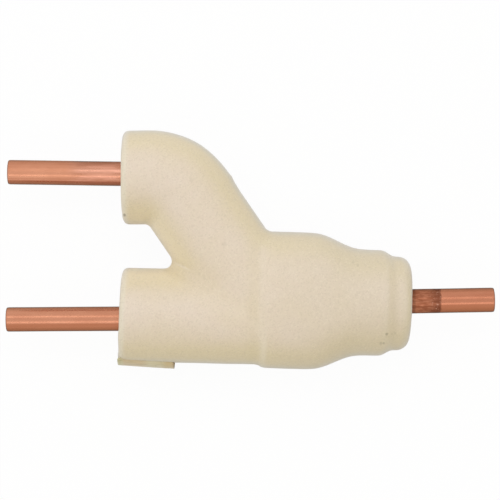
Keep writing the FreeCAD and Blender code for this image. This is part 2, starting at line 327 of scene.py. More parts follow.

# %% [markdown]
# ## Foam skin
# The cover is a moulded foam with a thin closed skin: cream, almost matt and pinkish on its
# broad tops. Its sloping sides are painted yellower, its steep flanks greyer and the drum a
# little darker, all as painted shade; the hollows where two arms meet get a yellower painted
# shade still, the rounded edges a paler painted highlight, and the gap between the arms is
# painted lighter, as painted light. Four values measured on the mesh guide this: how far a
# point is tilted, how hollow it is, how much of an edge it is, and whether it lies in the gap
# between the arms. Specks, a painted highlight along the drum's shoulder and a pale streak at
# the corner between the arms are placed one by one, because that is how the real ones lie.

# %% Tones of the foam
FOAM_VALUES = ("tilt", "hollow", "edge", "painted_gap_light")
FOAM_TOPS = ((229, 214, 198), (226, 211, 187))
FOAM_COATS = {                # largest share, tone
    "fine patches": (0.40, (225, 207, 188)),
    "painted shade, yellower sides": (0.85, (226, 211, 176)),
    "painted grey rim": (0.60, (208, 203, 190)),
    "painted light between arms": (0.75, (246, 232, 200)),
    "painted shade on drum": (0.40, (212, 199, 174)),
    "painted shade in hollows": (0.30, (208, 191, 148)),
    "painted highlight on edges": (0.50, (231, 225, 211)),
    "painted shade before shoulder": (0.17, (212, 199, 156)),
    "streak": (0.45, (238, 226, 210)),
    "pink cells": (0.12, (228, 205, 194)),
    "pale cells": (0.22, (242, 229, 209)),
    "dark cells": (0.16, (178, 165, 141)),
}
# painted highlight along the drum's shoulder
SHOULDER_HIGHLIGHT = (236, 227, 208)
SPECK_TONE = (118, 108, 72)
CELLS_PER_METRE = 1500.0

# %% Specks, shoulder line and streak
SHOULDER_LINE = 6.4           # X in mm
BAND_BEFORE = 4.6             # mm to the left of the line
STREAK_START = (-0.0345, -0.0087, 0.0)
STREAK_TURN = math.radians(24)
STREAK_THINNESS = 0.14        # its width, as a share of its length
SPECKS = (          # x and y in mm, size in mm, how dark
    (-64.6, 17.9, 1.05, 0.62),
    (69.3, -42.8, 1.0, 0.45),
    (72.2, -42.9, 0.9, 0.12),
    (73.7, -42.5, 1.0, 0.16),
    (66.6, -47.6, 1.1, 0.28),
    (68.0, -47.6, 0.9, 0.30),
    (-13.5, 2.8, 1.6, 0.09),
    (52.5, -6.2, 1.2, 0.08),
    (54.7, -7.7, 1.1, 0.11),
)


def shoulder_painted_light(tree, parts, unevenness, colour):
    """A painted highlight along the drum's shoulder, plainest low down, and a yellower band of
    painted shade beside it.
    """
    below = ramp(tree, parts["Y"], 0.008, 0.0)
    aside = calc(tree, "SUBTRACT", parts["X"], SHOULDER_LINE * MM)
    from_band = calc(tree, "ABSOLUTE", calc(tree, "ADD", aside, BAND_BEFORE * MM))
    band = times(tree, ramp(tree, from_band, 0.0065, 0.0005), below)
    colour = lay(tree, colour, band, FOAM_COATS["painted shade before shoulder"])
    line = times(tree, ramp(tree, calc(tree, "ABSOLUTE", aside), 0.0032, 0.0003), below)
    plain = times(tree, ramp(tree, parts["Y"], -0.036, -0.05), 0.22)
    plain = calc(tree, "MULTIPLY_ADD", unevenness, 0.16, plain)
    return blend(tree, times(tree, line, plain), colour, tone(*SHOULDER_HIGHLIGHT))


def crotch_streak(tree, place, colour):
    """A short pale streak from the corner between the arms."""
    begin = put(tree, "ShaderNodeVectorMath", {0: place, 1: STREAK_START}, operation="SUBTRACT")
    turned = put(tree, "ShaderNodeVectorRotate",
                 {"Vector": begin.outputs[0], "Angle": STREAK_TURN}, rotation_type="Z_AXIS")
    squeezed = stretch(tree, turned.outputs[0], (STREAK_THINNESS, 1.0, 0.0))
    length = put(tree, "ShaderNodeVectorMath", {0: squeezed}, operation="LENGTH").outputs["Value"]
    return lay(tree, colour, ramp(tree, length, 0.0009, 0.0002), FOAM_COATS["streak"])


def all_specks(tree, place, height):
    """One mask for all the specks; they lie on the upper half only."""
    flat = stretch(tree, place, (1.0, 1.0, 0.0))
    marks = 0.0
    for x, y, size, depth in SPECKS:
        spot = use(tree, speck_group,
                   {"Vector": flat, "Centre": (x * MM, y * MM, 0.0), "Size": size * MM})
        marks = calc(tree, "MAXIMUM", marks, times(tree, spot["Mask"], depth))
    return times(tree, marks, ramp(tree, height, middle_height * MM, 0.03))


# %% [markdown]
# The material is laid on as a painter would do it, from large to small: the base tone and its
# patches, then the painted shade and painted light that follow the shape, then the single marks,
# and the grain last. A little sheen stands for the fuzz of a skin that isn't quite closed: it
# greys steep sides, and the painted grey rim greys them further.

# %% The foam's material
def foam_material():
    """Cream foam skin with cells, mottling, painted shade on its sides and in its hollows, painted
    light on its edges and between the arms, and a few specks.
    """
    material, tree, shader, place = new_material("cream foam skin")
    parts = split(tree, place)
    tilt, hollow, edge, painted_gap_light = (measured(tree, name) for name in FOAM_VALUES)
    broad = use(tree, mottle_group, {"Vector": place, "Scale": 38.0, "Contrast": 2.4})["Value"]
    fine = use(tree, mottle_group, {"Vector": place, "Scale": 260.0, "Contrast": 2.6})["Value"]
    grain = use(tree, cell_group, {"Vector": place, "Cells per metre": CELLS_PER_METRE})
    on_drum = ramp(tree, parts["X"], -0.01, 0.05)

    colour = blend(tree, broad, *(tone(*top) for top in FOAM_TOPS))
    colour = lay(tree, colour, fine, FOAM_COATS["fine patches"])
    # Painted shade: the sloping sides are painted yellower.
    colour = lay(tree, colour, ramp(tree, tilt, 0.0, 0.32), FOAM_COATS["painted shade, yellower sides"])
    # Painted shade and painted reflection: the steepest flanks are painted greyer.
    colour = lay(tree, colour, ramp(tree, tilt, 0.48, 0.8), FOAM_COATS["painted grey rim"])
    # Painted light: the flanks in the gap between the arms are painted lighter.
    colour = lay(tree, colour, painted_gap_light, FOAM_COATS["painted light between arms"])
    # Painted shade: the drum end is painted a little darker, as the light falls off towards it.
    colour = lay(tree, colour, on_drum, FOAM_COATS["painted shade on drum"])
    # Painted shade: hollows and creases are painted darker and yellower.
    colour = lay(tree, colour, hollow, FOAM_COATS["painted shade in hollows"])
    # Painted highlight: the rounded edges are painted paler.
    colour = lay(tree, colour, edge, FOAM_COATS["painted highlight on edges"])
    # Painted highlight along the drum's shoulder, with painted shade in a band beside it.
    colour = shoulder_painted_light(tree, parts, fine, colour)
    colour = crotch_streak(tree, place, colour)
    colour = lay(tree, colour, ramp(tree, grain["Tint"], 0.6, 1.0), FOAM_COATS["pink cells"])
    colour = lay(tree, colour, ramp(tree, grain["Tint"], 0.35, 0.0), FOAM_COATS["pale cells"])
    colour = lay(tree, colour, ramp(tree, grain["Speckle"], 0.6, 1.0), FOAM_COATS["dark cells"])
    marks = all_specks(tree, place, parts["Z"])
    plug(tree, shader["Base Color"], blend(tree, marks, colour, tone(*SPECK_TONE)))

    plug(tree, shader["Roughness"], calc(tree, "MULTIPLY_ADD", grain["Height"], 0.12, 0.46))
    pitted = calc(tree, "SUBTRACT", grain["Height"], times(tree, marks, 3.0))
    emboss(tree, shader, 0.16, 0.00012, pitted)
    shader["Sheen Weight"].default_value = 0.6
    shader["Sheen Roughness"].default_value = 0.4
    shader["Sheen Tint"].default_value = (0.60, 0.64, 0.72, 1.0)
    return material


foam_skin = foam_material()
print("foam material with", len(foam_skin.node_tree.nodes), "nodes and", len(SPECKS), "specks")

# %% [markdown]
# ## From drafts to pieces
# Foam halves and pipes are both drafted as an object with a modifier, and then frozen into a
# plain mesh. A finished mesh is shown in place of a CAD node, which is hidden, and hangs on
# the root body.


# %% Drafts, stored values and pieces
def linked(name, data):
    """A new object in the scene."""
    thing = bpy.data.objects.new(name, data)
    bpy.context.scene.collection.objects.link(thing)
    return thing


def frozen(draft, name):
    """The plain mesh that a draft's modifiers make; the draft itself is removed."""
    bpy.context.view_layer.update()
    depsgraph = bpy.context.evaluated_depsgraph_get()
    result = bpy.data.meshes.new_from_object(draft.evaluated_get(depsgraph))
    source = draft.data
    bpy.data.objects.remove(draft)
    bpy.data.meshes.remove(source)
    result.name = name
    return result


def store_values(mesh, values):
    """Stores numbers on a mesh's points, by name."""
    for key, numbers in values.items():
        stored = mesh.attributes.new(key, "FLOAT", "POINT").data
        stored.foreach_set("value", np.asarray(numbers, np.float32))


def show(mesh, node):
    """Shows a finished mesh in place of a CAD node."""
    piece = linked(mesh.name, mesh)
    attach(piece, "root")
    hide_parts(node)
    return piece


# %% [markdown]
# ## From CAD solid to foam moulding
# The CAD halves have the right form but large flat facets. A voxel remesh lays an even net
# of small quads over each, which also rounds the sharp edge at the parting plane, as on real
# foam: that is the seam. A few smoothing passes take out the steps that voxels leave.


# %% Remesh a half
def remeshed(node, name, voxel):
    """An even, closed mesh over a CAD solid."""
    joined = bmesh.new()
    joined.from_mesh(node.data)
    bmesh.ops.remove_doubles(joined, verts=joined.verts, dist=0.002 * MM)
    mesh = bpy.data.meshes.new(name)
    joined.to_mesh(mesh)
    joined.free()
    draft = linked(name, mesh)
    remesh = draft.modifiers.new("even net", "REMESH")
    remesh.mode = "VOXEL"
    remesh.voxel_size = voxel * MM
    return frozen(draft, name)


# %% [markdown]
# The net is then shaped as arrays of numbers, which is quick: each point knows how many
# neighbours it has, and their mean tells how the surface bends there.

# %% A net of points
def read(rows, key, width):
    """Numbers of a mesh's points or edges as an array."""
    whole = key == "vertices"
    data = np.zeros(len(rows) * width, np.int32 if whole else np.float32)
    rows.foreach_get(key, data)
    return data.reshape(-1, width).astype(np.int64 if whole else float)


def write_points(mesh, points):
    """Puts points given in millimetres back into a mesh."""
    mesh.vertices.foreach_set("co", (points * MM).astype(np.float32).ravel())
    mesh.update()


class Net:
    """A mesh's points in millimetres, with who is next to whom."""

    def __init__(self, mesh):
        self.mesh = mesh
        self.points = read(mesh.vertices, "co", 3) / MM
        self.edges = read(mesh.edges, "vertices", 2)
        count = np.bincount(self.edges.ravel(), minlength=len(self.points))
        self.neighbours = np.maximum(count, 1)

    def spread(self, values):
        """The mean of each point's neighbours, for one number or three a point."""
        first, second = self.edges[:, 0], self.edges[:, 1]
        columns = values.reshape(len(values), -1)
        mean = np.empty_like(columns)
        for i in range(columns.shape[1]):
            column = columns[:, i]
            total = np.bincount(first, column[second], len(column))
            total += np.bincount(second, column[first], len(column))
            mean[:, i] = total / self.neighbours
        return mean.reshape(values.shape)

    def smooth(self, rounds):
        """Evens out the voxels' steps without shrinking the form."""
        for _ in range(rounds):
            for share in (0.5, -0.52):
                self.points += share * (self.spread(self.points) - self.points)

    def normals(self):
        """The way each point faces."""
        write_points(self.mesh, self.points)
        return read(self.mesh.vertices, "normal", 3)


def soft(value, low, high):
    """A soft step from 0 at low to 1 at high, for arrays."""
    share = np.clip((value - low) / (high - low), 0.0, 1.0)
    return share * share * (3.0 - 2.0 * share)


# %% [markdown]
# ## The fuller elbow
# Foam doesn't follow a bend exactly. On the outside of the elbow the moulding is about a
# millimetre fuller than a plain swept round, with a small kink where the straight begins.
# The points are described along the arm's path, which makes such a swelling easy to place.
# Here and below, a soft step between two numbers is between two places in millimetres.


# %% Where a point lies along the slanted arm
def along_arm(points):
    """Distance along the arm, distance to the outside of its axis, and the outward way."""
    flat = points[:, :2]
    from_foot = flat - slant_foot
    along = from_foot @ slant_way
    outward = from_foot @ slant_side
    way = np.repeat(slant_side[None], len(flat), axis=0)

    from_centre = flat - arm_bend_centre
    reach = np.linalg.norm(from_centre, axis=1)
    angle = np.arctan2(from_centre[:, 1], from_centre[:, 0])
    start = math.atan2(slant_side[1], slant_side[0])
    bent = (along > slant_length) & (from_centre[:, 0] > 0)
    along = np.where(bent, slant_length + (angle - start) * bend_radius, along)
    outward = np.where(bent, reach - bend_radius, outward)
    way = np.where(bent[:, None], from_centre / np.maximum(reach, 1e-6)[:, None], way)

    stub = (from_centre[:, 0] <= 0) & (flat[:, 1] > 5.0)    # Y above 5 mm is the branch's side
    full_bend = slant_length + (math.pi / 2 - start) * bend_radius
    along = np.where(stub, full_bend - from_centre[:, 0], along)
    outward = np.where(stub, flat[:, 1] - stub_line, outward)
    way = np.where(stub[:, None], np.array([0.0, 1.0]), way)
    return along, outward, way


# The swelling: millimetres along the arm, and how far out the skin is pushed there.
SWELL_AT = (26.0, 30.0, 42.0, 51.0, 57.0, 60.8, 64.0, 67.0, 71.0, 74.0, 77.0, 83.0, 92.0)
SWELL_BY = (0.25, 0.40, 0.34, 0.31, 0.58, 1.10, 0.85, 0.72, 0.78, 0.90, 0.80, 0.40, 0.0)


def swell_elbow(net):
    """Pushes the arm's outer side out by the measured amounts."""
    along, outward, way = along_arm(net.points)
    height = net.points[:, 2] - middle_height
    reach = np.hypot(outward, height)
    on_skin = soft(reach, 19.0, 22.0) * (1 - soft(reach, 27.0, 30.0))
    side = np.clip(outward / np.maximum(reach, 1e-6), 0.0, 1.0) ** 1.6
    amount = np.interp(along, SWELL_AT, SWELL_BY, left=0.0, right=0.0)
    amount *= on_skin * side * soft(along, 24.0, 30.0)
    net.points[:, :2] += amount[:, None] * way
    return amount.max()


# %% [markdown]
# ## The start of the drum
# The step where the arms run into the drum has a soft shoulder that lies a little further to
# the right on the moulding than in the model. The outer skin is slid along X, most at the
# step and less and less away from it, so nothing is bent sharply. The walls of the pocket
# inside must keep clear of the copper, so they stay where they are. The groove before the
# cap is slid by a millimetre in the same way, and the low corner of the run arm's end is
# drawn out a little.


# %% Slide the step
SHOULDER_SLIDE = 1.3          # mm in the parting plane
HIGHER_SLIDE = 1.7            # and this much more at the top and the underside
GROOVE_SLIDE = 1.1
CORNER_OUT = (0.5, 1.0)       # mm: the low corner of the run arm's end, and more at its foot
DRUM_HALF_WIDTH = 34.5
DRUM_HALF_HEIGHT = 27.5


def slide_step(net):
    """Slides the drum's shoulder, the cap's groove and the run arm's end along X."""
    x, y, z = net.points.T
    off_middle = soft(np.abs(z - middle_height), 8.0, 22.0)
    amount = SHOULDER_SLIDE + HIGHER_SLIDE * off_middle
    amount *= soft(x, -11.0, 1.0) * (1 - soft(x, 7.0, 22.0)) * (1 - soft(y, -2.0, 8.0))
    amount += GROOVE_SLIDE * off_middle * soft(x, 58.0, 68.0) * (1 - soft(x, 75.0, 83.0))
    across = np.hypot((y - slant_foot[1]) / DRUM_HALF_WIDTH, (z - middle_height) / DRUM_HALF_HEIGHT)
    outer = soft(across, 0.68, 0.8)
    net.points[:, 0] += amount * outer
    fuller = CORNER_OUT[0] * soft(-y, 38.0, 46.0) + CORNER_OUT[1] * soft(-y, 50.0, 57.0)
    net.points[:, 0] -= fuller * (1 - soft(x, -66.0, -58.0))
    return (amount * outer).max()


# %% [markdown]
# ## Soft creases
# Where two arms meet, the CAD has a sharp inner corner; foam moulds have a wide rounded one.
# The net finds its own creases: a point that lies behind the mean of its neighbours, seen
# along its normal, is in a hollow. Smoothing only there, and only outwards, fills the crease
# without wearing away the rounds beside it, and each new turn finds a wider hollow to fill.


# %% Hollows and creases
def bulge(net, facing, rounds):
    """How hollow the surface is at each point, in millimetres, evened out over a few rows."""
    lift = ((net.spread(net.points) - net.points) * facing).sum(axis=1)
    for _ in range(rounds):
        lift = net.spread(lift)
    return lift


def crease_share(net, facing):
    """Which points are in a crease, and how far each crease is to be filled."""
    x, y, z = net.points.T
    in_hollow = soft(bulge(net, facing, 6), 0.0008, 0.005)
    between_arms = (1 - soft(x, 0.0, 9.0)) * (1 - soft(y, 2.0, 8.0))
    between_arms *= soft(np.abs(z - middle_height), 7.0, 13.0)
    arm_on_drum = soft(x, -10.0, 0.0) * (1 - soft(x, 16.0, 22.0)) * soft(y, -16.0, -4.0)
    run_on_drum = 0.2 * (1 - soft(x, 8.0, 14.0))
    return in_hollow * np.maximum(np.maximum(between_arms, arm_on_drum), run_on_drum)


def soften_creases(net, turns, rounds):
    """Fills the creases between the arms and the drum, wider with each turn."""
    for _ in range(turns):
        facing = net.normals()
        weight = crease_share(net, facing)
        for _ in range(5):
            weight = np.maximum(weight, net.spread(weight))
        for _ in range(rounds):
            step = 0.5 * weight[:, None] * (net.spread(net.points) - net.points)
            inward = np.minimum((step * facing).sum(axis=1), 0.0)
            net.points += step - inward[:, None] * facing
    return int((weight > 0.3).sum())


# %% [markdown]
# A foam skin is never quite true. Gentle waves come last, but not at the seam, where the
# halves must stay closed, and no point may leave the box of the CAD model.

# %% Gentle waves
WAVES = ((16.0, 0.16), (5.0, 0.05))     # distance between waves and their height, in mm
lowest, highest = (np.array(corner) / MM for corner in cad_box)


def make_uneven(net):
    """Waves the skin along its normals with soft noise."""
    facing = net.normals()
    off_seam = soft(np.abs(net.points[:, 2] - middle_height), 0.2, 2.5)
    wave = np.zeros(len(net.points))
    for pitch, height in WAVES:
        scale = 1.0 / pitch
        wave += height * np.array([noise.noise(Vector(point) * scale) for point in net.points])
    net.points += (wave * off_seam)[:, None] * facing
    net.points = np.clip(net.points, lowest, highest)


# %% [markdown]
# The four values that guide the material are measured on the finished form. A tilt of 0 is
# level and 1 is upright. Hollows and edges are the two signs of the same bend, the hollows
# spread further.

# %% Values for the material
def form_values(net):
    """Tilt, hollow, edge, and the gap between the arms that is painted lighter, at each point."""
    facing = net.normals()
    tilt = 1 - np.abs(facing[:, 2])
    for _ in range(12):
        tilt = net.spread(tilt)
    x, y, _ = net.points.T
    between = soft(-x, 22.0, 36.0) * soft(y, -22.0, -13.0) * (1 - soft(y, 26.0, 35.0))
    values = (tilt, soft(bulge(net, facing, 40), 0.0, 0.006),
              soft(-bulge(net, facing, 12), 0.010, 0.030), between * soft(tilt, 0.12, 0.6))
    return dict(zip(FOAM_VALUES, values))


# %% The two halves of the cover
VOXEL = 0.75
SMOOTH_ROUNDS = 6
CREASE_TURNS = 7
CREASE_ROUNDS = 36
for name in ("insulation_upper_half", "insulation_lower_half"):
    net = Net(remeshed(nodes[name], name.replace("insulation", "foam_cover"), VOXEL))
    net.smooth(SMOOTH_ROUNDS)
    slid = slide_step(net)
    swollen = swell_elbow(net)
    creased = soften_creases(net, CREASE_TURNS, CREASE_ROUNDS)
    make_uneven(net)
    store_values(net.mesh, form_values(net))
    net.mesh.shade_smooth()
    net.mesh.materials.append(foam_skin)
    piece = show(net.mesh, name)
    print(piece.name, len(net.points), "points,", creased, "of them in creases")
    print("  step slid by %.2f mm, elbow swollen by %.2f mm" % (slid, swollen))

# %% [markdown]
# ## Copper
# Copper is a metal, so nearly all of its look is reflection: a warm tint, a roughness that
# keeps the reflections soft, and the lines and blotches of handled pipe. The front side of a
# pipe, which mirrors the dimmer part of the room, is painted a tone darker as painted shade,
# and so is the very edge, where the Specular Tint of the metal also darkens the reflection.
# On the handled pipe a bright band beside the foam is a painted highlight, and its back side
# there is painted shade. Beside the brazed inlet the flame has left a dull brown zone that
# ends in a sharp line, and a painted shadow lies on the inlet where it leaves the foam.

# %% Tones of the copper
COPPERS = {                   # name, two tones, and how rough its gloss is
    "inlet": ("heat-tinted copper", (200, 134, 104), (188, 121, 93), 0.17),
    "run": ("drawn copper", (208, 145, 115), (198, 133, 104), 0.19),
    "branch": ("handled copper", (216, 152, 121), (207, 142, 111), 0.21),
}
COPPER_COATS = {              # largest share, tone
    "dull lines": (0.45, (180, 108, 78)),
    "painted shade, front side": (0.75, (180, 112, 80)),
    # the very edge: painted shade
    "edge": (0.15, (150, 98, 76)),
    "cut lip": (0.55, (112, 66, 48)),
    "burnt rim": (0.75, (108, 58, 40)),
    "flecks": (0.70, (210, 162, 140)),
    "shade by the foam": (0.50, (96, 60, 44)),
    "painted shade, back side": (0.50, (172, 112, 88)),
    "painted_highlight_band": (0.40, (234, 176, 154)),
    "painted shade, front edge, branch": (0.60, (168, 102, 74)),
}
COOKED = ((140, 80, 55), (184, 120, 91))
RUBBED_BY_HAND = ((186, 126, 100), (230, 166, 142))
EDGE_REFLECTION = (0.30, 0.46, 0.50, 1.0)


# %% Marks of flame and hands, and painted light and shade
def heat_tint_and_foam_shadow(tree, place, colour, roughness):
    """The flame's mark on the inlet: mottled brown, darkest and flecked at its sharp edge; and a
    painted shadow where the pipe leaves the foam.
    """
    across = split(tree, place)["X"]
    edge = calc(tree, "MULTIPLY_ADD", cloud(tree, place, 700.0, 2.0), 0.0012, across)
    near = ramp(tree, edge, 0.0915, 0.0985)
    burnt = ramp(tree, edge, 0.0998, 0.0988)
    cooked = cloud(tree, stretch(tree, place, (0.3, 1.0, 1.0)), 760.0, 4.0, 0.65)
    tint = blend(tree, ramp(tree, cooked, 0.34, 0.68), *(tone(*brown) for brown in COOKED))
    tint = lay(tree, tint, near, COPPER_COATS["burnt rim"])
    flecks = ramp(tree, cloud(tree, place, 1300.0, 1.0), 0.6, 0.7)
    tint = lay(tree, tint, times(tree, flecks, near), COPPER_COATS["flecks"])
    colour = blend(tree, times(tree, burnt, 0.9), colour, tint)
    # Painted shadow: a dark line on the pipe where it leaves the foam.
    against_foam = ramp(tree, across, 0.0862, 0.0848)
    colour = lay(tree, colour, against_foam, COPPER_COATS["shade by the foam"])
    return colour, calc(tree, "MULTIPLY_ADD", burnt, 0.10, roughness)


def hand_marks_and_painted_light(tree, place, from_end, lean, colour, roughness):
    """A pipe that was held: rubbed bands towards the foam, and a dull film further out; beside the
    foam also a painted highlight band and painted shade on the back side, and painted shade along
    the whole front edge.
    """
    rubbed = cloud(tree, stretch(tree, place, (0.14, 1.0, 1.0)), 420.0, 3.0, 0.55, 0.3)
    marks = blend(tree, ramp(tree, rubbed, 0.4, 0.62), *(tone(*rub) for rub in RUBBED_BY_HAND))
    near_foam = ramp(tree, from_end, 0.029, 0.039)
    colour = blend(tree, times(tree, near_foam, 0.55), colour, marks)
    # Painted shade: beside the foam the back side of the pipe is painted darker.
    behind = times(tree, near_foam, ramp(tree, lean, -0.42, -0.62))
    colour = lay(tree, colour, behind, COPPER_COATS["painted shade, back side"])
    # Painted highlight: a bright band along the pipe beside the foam, at one place round it.
    from_band = calc(tree, "ABSOLUTE", calc(tree, "ADD", lean, 0.17))
    painted_highlight_band = times(tree, near_foam, ramp(tree, from_band, 0.24, 0.1))
    colour = lay(tree, colour, painted_highlight_band, COPPER_COATS["painted_highlight_band"])
    # Painted shade: the front edge of the branch pipe is painted darker.
    colour = lay(tree, colour, ramp(tree, lean, 0.62, 0.7), COPPER_COATS["painted shade, front edge, branch"])
    untouched = calc(tree, "SUBTRACT", 1.0, near_foam)
    filmed = times(tree, ramp(tree, lean, 0.05, -0.06), untouched)
    return colour, calc(tree, "MULTIPLY_ADD", filmed, 0.16, roughness)


# %% [markdown]
# Three values come from the pipe's mesh: its own space, how far a point is from the cut end,
# and its lean, which runs from -1 at the very back of the pipe to 1 at its very front.

# %% The copper material
def copper_material(pipe, heated=False, handled=False):
    """Drawn copper between two tones, with painted shade on its front side and at its very edges;
    heated and handled pipes carry their marks.
    """
    name, bright, dull, gloss = COPPERS[pipe]
    material, tree, shader, place = new_material(name)
    own = measured(tree, "pipe_space", "Vector")
    from_end, lean = (measured(tree, key) for key in ("from_end", "lean"))
    lines = use(tree, draw_group, {"Vector": own, "Lines per metre": 700.0})
    fine = use(tree, draw_group, {"Vector": own, "Lines per metre": 2600.0})
    blotch = use(tree, mottle_group, {"Vector": stretch(tree, place, (0.5, 1.0, 1.0)),
                                      "Scale": 170.0, "Contrast": 2.0})["Value"]
    colour = blend(tree, blotch, tone(*bright), tone(*dull))
    colour = lay(tree, colour, ramp(tree, lines["Lines"], 0.5, 0.3), COPPER_COATS["dull lines"])
    roughness = calc(tree, "MULTIPLY_ADD", blotch, 0.10, gloss)
    roughness = calc(tree, "MULTIPLY_ADD", fine["Lines"], 0.05, roughness)
    if handled:
        colour, roughness = hand_marks_and_painted_light(tree, place, from_end, lean, colour, roughness)
    else:
        # Painted shade: the front side of the pipe is painted a tone darker, its edge wandering
        # along the drawing lines.
        wander = calc(tree, "SUBTRACT", lines["Broad"], 0.5)
        front = ramp(tree, calc(tree, "MULTIPLY_ADD", wander, 0.15, lean), 0.26, 0.4)
        colour = lay(tree, colour, front, COPPER_COATS["painted shade, front side"])
    # Painted shade: the very edges of every pipe are painted a darker brown.
    painted_dark_rim = ramp(tree, calc(tree, "ABSOLUTE", lean), 0.74, 0.9)
    colour = lay(tree, colour, painted_dark_rim, COPPER_COATS["edge"])
    if heated:
        colour, roughness = heat_tint_and_foam_shadow(tree, place, colour, roughness)
    colour = lay(tree, colour, ramp(tree, from_end, 0.0007, 0.0001), COPPER_COATS["cut lip"])

    plug(tree, shader["Base Color"], colour)
    plug(tree, shader["Roughness"], roughness)
    shader["Metallic"].default_value = 1.0
    shader["Specular Tint"].default_value = EDGE_REFLECTION
    emboss(tree, shader, 0.2, 0.00008, lines["Broad"])
    return material


copper_of = {
    "inlet": copper_material("inlet", heated=True),
    "run": copper_material("run"),
    "branch": copper_material("branch", handled=True),
}
print("copper materials:", ", ".join(material.name for material in copper_of.values()))

# %% [markdown]
# ## One tree of Geometry Nodes for every pipe
# A pipe is a ring carried along a path, with a radius at each station. The tree below takes
# two such paths, the outer skin and the bore, sweeps a ring along both, turns the bore's
# faces inwards and joins the two where they meet at the ends. It also stores the pipe's own
# space for the copper's drawing lines.


# %% Helpers of the sweeping tree
def known(tree, name, kind="FLOAT"):
    """A value that the points carry."""
    return put(tree, "GeometryNodeInputNamedAttribute", {"Name": name}, data_type=kind).outputs[0]


def note(tree, geometry, name, value):
    """Stores a vector on every point."""
    node = put(tree, "GeometryNodeStoreNamedAttribute",
               {"Geometry": geometry, "Name": name, "Value": value},
               data_type="FLOAT_VECTOR", domain="POINT")
    return node.outputs[0]


# %% The sweeping tree
def sweep_tree():
    """Geometry Nodes: stations with a radius become the skin and the bore of a pipe."""
    tree = bpy.data.node_groups.new("sweep a ring along stations", "GeometryNodeTree")
    sockets = {}
    for label, kind in (("Stations", "Geometry"), ("Sides of the ring", "Int"),
                        ("Material", "Material")):
        sockets[label] = tree.interface.new_socket(label, in_out="INPUT",
                                                   socket_type="NodeSocket" + kind)
    tree.interface.new_socket("Pipe", in_out="OUTPUT", socket_type="NodeSocketGeometry")
    given = tree.nodes.new("NodeGroupInput").outputs
    result = tree.nodes.new("NodeGroupOutput").inputs

    path = put(tree, "GeometryNodeMeshToCurve", {"Mesh": given["Stations"]})
    upright = put(tree, "GeometryNodeSetCurveNormal", {"Curve": path.outputs[0]}, mode="Z_UP")
    wide = known(tree, "ring_radius")
    ring = put(tree, "GeometryNodeCurvePrimitiveCircle",
               {"Resolution": given["Sides of the ring"], "Radius": 1.0})
    place = tree.nodes.new("GeometryNodeInputPosition").outputs[0]
    marked = note(tree, ring.outputs[0], "spot", place)
    swept = put(tree, "GeometryNodeCurveToMesh",
                {"Curve": upright.outputs[0], "Profile Curve": marked, "Scale": wide})

    spot = split(tree, known(tree, "spot", "FLOAT_VECTOR"))
    own = put(tree, "ShaderNodeCombineXYZ",
              {"X": known(tree, "along"), "Y": times(tree, spot["X"], wide),
               "Z": times(tree, spot["Y"], wide)})
    spaced = note(tree, swept.outputs[0], "pipe_space", own.outputs[0])
    turned = put(tree, "GeometryNodeFlipFaces", {"Mesh": spaced, "Selection": known(tree, "bore")})
    welded = put(tree, "GeometryNodeMergeByDistance",
                 {"Geometry": turned.outputs[0], "Distance": 0.002 * MM})
    even = put(tree, "GeometryNodeSetShadeSmooth", {"Geometry": welded.outputs[0]})
    real = put(tree, "GeometryNodeRealizeInstances", {"Geometry": even.outputs[0]})
    coated = put(tree, "GeometryNodeSetMaterial",
                 {"Geometry": real.outputs[0], "Material": given["Material"]})
    plug(tree, result[0], coated.outputs[0])
    return tree, sockets["Sides of the ring"].identifier, sockets["Material"].identifier


RING_SIDES = 96
sweep, sides_socket, copper_socket = sweep_tree()
print("sweeping tree with", len(sweep.nodes), "nodes")

# %% [markdown]
# The stations are worked out here. Each pipe starts in its bell, which widens over the
# copper body's spigot, and ends in a cut and deburred lip: the outer edge is rounded, and
# both skins run to the middle of the wall, where they are welded.


# %% Stations along a pipe
LIP = ((0.0, 5.78), (0.0, 5.95), (0.04, 6.02), (0.14, 6.11), (0.3, 6.2), (0.55, 6.28),
       (0.9, 6.33), (1.4, pipe_radius), (2.5, pipe_radius))     # mm from the end, radius
BORE_LIP = ((0.0, 5.78), (0.0, 5.7), (0.05, 5.63), (0.14, 5.58), (0.3, bore_radius),
            (1.0, bore_radius))
LIP_ZONE = 3.0                # mm that are left to the lip
FLARE_STEPS = 6


def pipe_profile(length, inner):
    """(distance from the bell's mouth, radius) of one skin, from mouth to cut end."""
    bell, tube, lip = ((bell_bore, bore_radius, BORE_LIP) if inner
                       else (bell_radius, pipe_radius, LIP))
    mid_wall = (bell_bore + bell_radius) / 2
    rings = [(0.0, mid_wall), (0.0, bell), (0.4, bell), (bell_length - 0.3, bell)]
    for step in range(FLARE_STEPS + 1):
        share = step / FLARE_STEPS
        narrowed = share * share * (3 - 2 * share)
        rings.append((bell_length + flare_length * share, bell + (tube - bell) * narrowed))
    start = bell_length + flare_length + 1.0
    span = length - LIP_ZONE - start
    steps = max(int(span), 1)
    rings += [(start + span * step / steps, tube) for step in range(steps)]
    rings += [(length - back, radius) for back, radius in reversed(lip)]
    return rings


# %% Paths
def straight_path(start, way):
    """A path that runs straight on: a distance gives a point."""
    return lambda distance: start + way * distance


def bent_path(start, first_way, corner, second_way):
    """A path with one round bend between two straights."""
    turn = math.acos(float(np.dot(first_way, second_way)))
    tangent = tangent_of(turn)
    into = float(np.dot(corner - start, first_way)) - tangent
    side = np.array([-first_way[1], first_way[0]])
    centre = start + first_way * into + side * bend_radius

    def point(distance):
        if distance <= into:
            return start + first_way * distance
        angle = (distance - into) / bend_radius
        if angle < turn:
            return centre + bend_radius * (first_way * math.sin(angle) - side * math.cos(angle))
        rest = distance - into - bend_radius * turn
        return corner + second_way * (tangent + rest)

    return point


